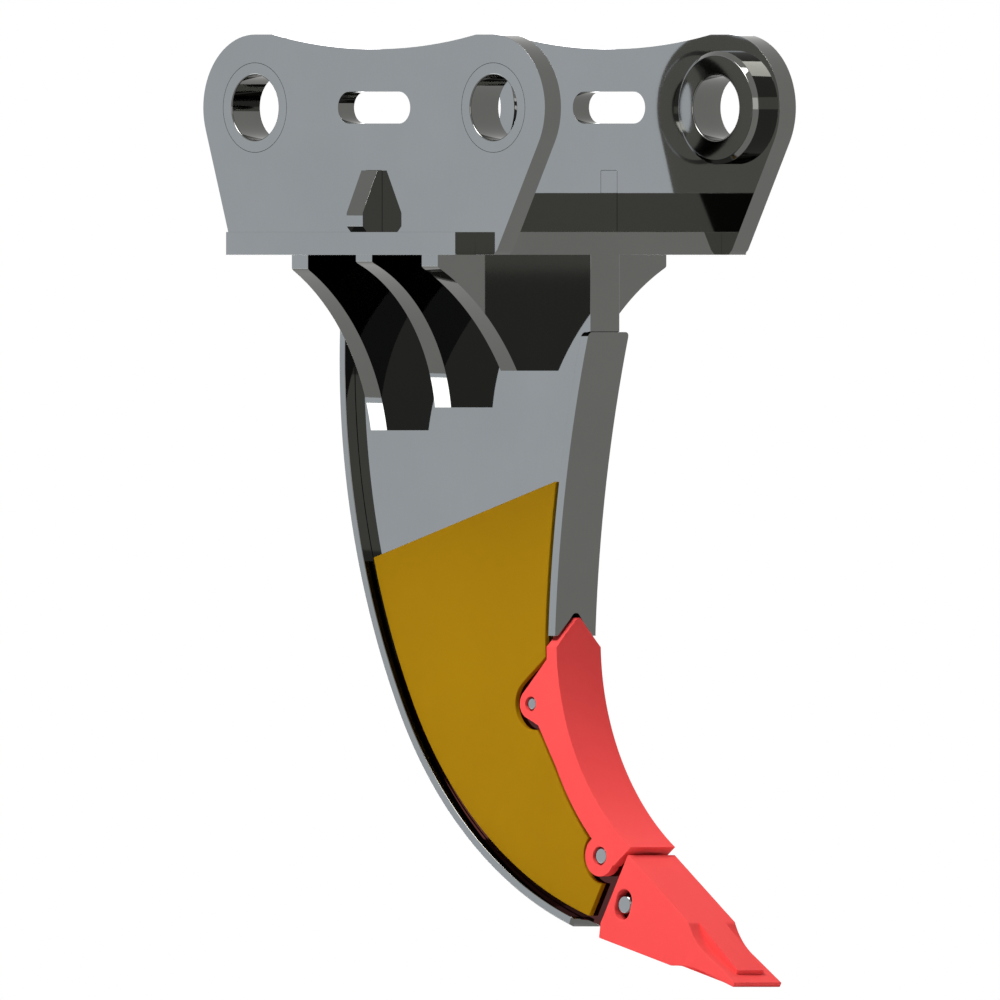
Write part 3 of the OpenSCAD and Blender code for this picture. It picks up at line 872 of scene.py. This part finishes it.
@dataclass
class Shank:
    """The curved shank with its back flange, leading-edge bar and wear plates."""

    trail_meet: tuple[float, float] = (-0.3385, -0.7407)
    trail_slope: float = math.radians(27.13)
    trail_upper_radius: float = 0.943
    trail_lower_radius: float = 0.538
    base_bottom: float = -0.1804
    flange_thickness: float = 0.01
    flange_width: float = 0.084
    flange_end: float = math.radians(70.7)
    flange_tuck: float = 0.0012
    upper_chords: int = 60
    lower_chords: int = 48
    plate_edge: float = 0.001
    bar_edge: float = 0.001
    bar_shortest: float = 0.0012
    wear_edge: float = 0.0012

    def build(self) -> None:
        """Makes and hands over every piece of the shank."""
        seats = [FlatSeat(Axis.Z, self.base_bottom)]
        piece = SHOP.soften(SHOP.copy_of("shank_plate", "shank"), self.plate_edge, seats=seats)
        SHOP.hand_over(piece, SHANK_STEEL, ["shank"])
        self._flange()
        piece = SHOP.copy_of("front_bar", "leading_edge_bar", self.bar_shortest)
        SHOP.hand_over(SHOP.soften(piece, self.bar_edge), PLATE_STEEL, ["leading_edge_bar"])
        piece = SHOP.paired(SHOP.copy_of("wear_plates", "left_wear_plate"), YELLOW_PAINT)
        SHOP.soften(piece, self.wear_edge)
        SHOP.hand_over(piece, YELLOW_PAINT, ["left_wear_plate", "right_wear_plate"])

    def _flange_path(self) -> list[Place]:
        """The middle line of the back flange, from the base plate down both arcs.

        Returns:
            Points on the line.
        """
        half = self.flange_thickness / 2
        meet = Vector(self.trail_meet)
        way = Vector((math.cos(self.trail_slope), math.sin(self.trail_slope)))
        upper = meet + way * self.trail_upper_radius
        lower = meet + way * self.trail_lower_radius
        upper_r = self.trail_upper_radius - half
        lower_r = self.trail_lower_radius - half
        top = math.pi - math.asin((self.base_bottom + self.flange_tuck - upper.y) / upper_r)
        bend = math.pi + self.trail_slope
        end = math.pi + self.flange_end
        points = arc_points(upper, upper_r, top, bend, self.upper_chords)
        points += arc_points(lower, lower_r, bend, end, self.lower_chords)[1:]
        return [(x, 0.0, z) for x, z in points]

    def _flange(self) -> None:
        """Sweeps the back flange along its path."""
        piece = SHOP.outline("back_bar", self._flange_path(), closed=False)
        section = {
            "Width": self.flange_width,
            "Thickness": self.flange_thickness,
            "Edge Radius": self.plate_edge,
        }
        SHOP.grow(piece, BentBarTree(), PLATE_STEEL, section)
        for polygon in piece.data.polygons:
            polygon.use_smooth = True
        SHOP.even_shading(piece, keep_sharp=False)
        SHOP.hand_over(piece, PLATE_STEEL, ["back_flange"])


@dataclass
class GroundTools:
    """The shroud and the tooth with the pins and rings that hold them."""

    cheek_inside: float = 0.0254
    hollow_side: float = 0.0225
    casting_edge: float = 0.0014
    casting_steps: int = 3
    casting_shortest: float = 0.0012
    pin_chamfer: float = 0.0016
    pin_edge: float = 0.0004
    pin_steps: int = 64
    ring_edge: float = 0.0004

    def build(self) -> None:
        """Makes and hands over the shroud, the tooth and what holds them."""
        self._casting("nose_shroud", "shroud")
        self._casting("chisel_tooth", "tooth")
        for stem in ("upper_shroud", "lower_shroud", "tooth"):
            self._pin(f"{stem}_bolt", f"{stem}_pin")
            self._ring(f"{stem}_ring", f"{stem}_retainer")

    def _casting(self, name: str, node: str) -> None:
        """Makes a casting from its CAD node.

        Args:
            name: The piece's name.
            node: The CAD node.
        """
        seats = [FlatSeat(Axis.Y, self.cheek_inside), FlatSeat(Axis.Y, self.hollow_side)]
        piece = SHOP.copy_of(name, node, self.casting_shortest)
        SHOP.soften(piece, self.casting_edge, self.casting_steps, seats)
        SHOP.hand_over(piece, RED_PAINT, [node])

    def _pin(self, name: str, node: str) -> None:
        """Turns a pin with chamfered ends to the size of its CAD node.

        Args:
            name: The piece's name.
            node: The CAD node.
        """
        low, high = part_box(node)
        radius = (high.x - low.x) / 2
        centre = (low + high) / 2
        chamfer = self.pin_chamfer
        profile = [
            (-radius, low.y, 0.0),
            (-chamfer, low.y, 0.0),
            (0.0, low.y + chamfer, 0.0),
            (0.0, high.y - chamfer, 0.0),
            (-chamfer, high.y, 0.0),
            (-radius, high.y, 0.0),
        ]
        piece = SHOP.outline(name, profile, closed=False)
        turning = {
            "Core Radius": radius,
            "Steps": self.pin_steps,
            "Copies": 1,
            "Spacing": 0.0,
            "Centre": (centre.x, 0.0, centre.z),
        }
        SHOP.grow(piece, TurnedTree(), PIN_STEEL, turning)
        SHOP.soften(piece, self.pin_edge)
        SHOP.hand_over(piece, PIN_STEEL, [node])

    def _ring(self, name: str, node: str) -> None:
        """Makes a retaining ring from its CAD node."""
        piece = SHOP.soften(SHOP.copy_of(name, node), self.ring_edge)
        SHOP.hand_over(piece, PIN_STEEL, [node])


@dataclass(frozen=True)
class Softbox:
    """A soft rectangular lamp that faces a point."""

    name: str
    place: Place
    aim: Place
    size: tuple[float, float]
    power: float
    colour: Colour = WHITE
    in_gloss: bool = True
    on_matt: bool = True

    def build(self) -> None:
        """Makes the lamp."""
        data = bpy.data.lights.new(self.name, "AREA")
        data.shape = "RECTANGLE"
        data.size, data.size_y = self.size
        data.energy = self.power
        data.color = self.colour
        lamp = bpy.data.objects.new(self.name, data)
        bpy.context.scene.collection.objects.link(lamp)
        lamp.location = self.place
        way = Vector(self.aim) - Vector(self.place)
        lamp.rotation_euler = way.to_track_quat("-Z", "Y").to_euler()
        lamp.visible_camera = False
        lamp.visible_glossy = self.in_gloss
        lamp.visible_diffuse = self.on_matt
        LOG.info("lamp %s", self.name)


@dataclass
class Studio:
    """The floor, the lamps, the white world and the camera."""

    view_azimuth: float = math.radians(45)
    view_height: float = 1.225
    view_aim: Place = (-0.2060, 0.0002, -0.4807)
    view_distance: float = 4.0
    view_reach: float = 100.0
    floor_gap: float = 0.0005
    floor_size: float = 24.0
    floor_colour: Colour = (0.86, 0.86, 0.86)
    floor_shade: float = 0.98
    fibre_scale: float = 60.0
    paper_roughness: float = 0.9
    ambient: float = 0.1

    def build(self) -> None:
        """Makes the whole studio."""
        self._floor()
        self._world()
        self._camera()
        for lamp in self._lamps():
            lamp.build()
        bpy.context.scene.view_settings.view_transform = "Standard"

    def _lamps(self) -> list[Softbox]:
        """The lamps: a key, a fill behind for matt paint, and four that the steel mirrors.

        Returns:
            The lamps.
        """
        aim = self.view_aim
        return [
            Softbox(
                name="left_wall",
                place=(-2.7, -2.5, -0.35),
                aim=aim,
                size=(3.2, 3.2),
                power=46.0,
                colour=(0.89, 1.0, 1.2),
                on_matt=False,
            ),
            Softbox(name="key", place=(0.1, -2.0, 2.2), aim=aim, size=(1.6, 1.6), power=146.0),
            Softbox(
                name="back",
                place=(-0.9, 2.6, 1.7),
                aim=aim,
                size=(1.8, 1.8),
                power=45.0,
                in_gloss=False,
            ),
            Softbox(
                name="rim",
                place=(-2.7, 2.6, -0.3),
                aim=aim,
                size=(2.6, 2.6),
                power=60.0,
                on_matt=False,
            ),
            Softbox(
                name="fill",
                place=(3.3, -3.5, 0.55),
                aim=(-0.2, 0.0, 0.55),
                size=(4.0, 1.5),
                power=32.0,
                on_matt=False,
            ),
            Softbox(
                name="low_left",
                place=(-6.19, -5.41, -2.53),
                aim=(-0.3, -0.1, -0.37),
                size=(1.6, 2.2),
                power=90.0,
                on_matt=False,
            ),
        ]

    def _floor(self) -> None:
        """Lays a pale floor just under the tip."""
        low, high = CAD_BOX
        half = self.floor_size / 2
        middle = (low + high) / 2
        corners = [
            (middle.x + sx * half, middle.y + sy * half, low.z - self.floor_gap)
            for sx, sy in ((-1, -1), (1, -1), (1, 1), (-1, 1))
        ]
        mesh = bpy.data.meshes.new("floor")
        mesh.from_pydata(corners, [], [(0, 1, 2, 3)])
        mesh.materials.append(self._paper())
        floor = SHOP.new_piece("floor", mesh)
        floor.visible_glossy = False

    def _paper(self) -> bpy.types.Material:
        """The floor's matt paper with faint fibres.

        Returns:
            The material.
        """
        made = bpy.data.materials.new("floor_paper")
        made.use_nodes = True
        made.node_tree.nodes.clear()
        sheet = NodeSheet(made.node_tree)
        place = sheet.node("ShaderNodeTexCoord", output="Object")
        fibre = sheet.noise(place, self.fibre_scale)
        shaded = tuple(c * self.floor_shade for c in self.floor_colour)
        colour = sheet.blend(fibre, self.floor_colour, shaded)
        surface = {"Base Color": colour, "Roughness": self.paper_roughness}
        paper = sheet.node("ShaderNodeBsdfPrincipled", surface)
        sheet.node("ShaderNodeOutputMaterial", {"Surface": paper})
        return made

    def _world(self) -> None:
        """Makes a world that is white to look at and in reflections, and dimmer as a light."""
        world = bpy.data.worlds.new("studio")
        world.use_nodes = True
        world.node_tree.nodes.clear()
        bpy.context.scene.world = world
        sheet = NodeSheet(world.node_tree)
        ray = sheet.node("ShaderNodeLightPath", output="Is Camera Ray")
        seen = (ray + ray.out("Is Glossy Ray") + ray.out("Is Transmission Ray")).clamped()
        light = sheet.node("ShaderNodeBackground", {"Color": WHITE, "Strength": self.ambient})
        white = sheet.node("ShaderNodeBackground", {"Color": WHITE, "Strength": 1.0})
        mixed = sheet.node("ShaderNodeMixShader", {0: seen, 1: light, 2: white})
        sheet.node("ShaderNodeOutputWorld", {"Surface": mixed})

    def _camera(self) -> None:
        """Sets the camera level with the ripper, at its front right."""
        data = bpy.data.cameras.new("camera")
        data.type = "ORTHO"
        data.ortho_scale = self.view_height
        data.clip_end = self.view_reach
        camera = bpy.data.objects.new("camera", data)
        bpy.context.scene.collection.objects.link(camera)
        back = Vector((math.sin(self.view_azimuth), -math.cos(self.view_azimuth), 0.0))
        camera.location = Vector(self.view_aim) + back * self.view_distance
        camera.rotation_euler = (-back).to_track_quat("-Z", "Y").to_euler()
        bpy.context.scene.camera = camera


def main() -> None:
    """Builds the ripper's sub-assemblies and the studio."""
    logging.basicConfig(level=logging.INFO, format="%(name)s %(message)s")
    Hanger().build()
    Shank().build()
    GroundTools().build()
    Studio().build()


if __name__ == "__main__":
    main()
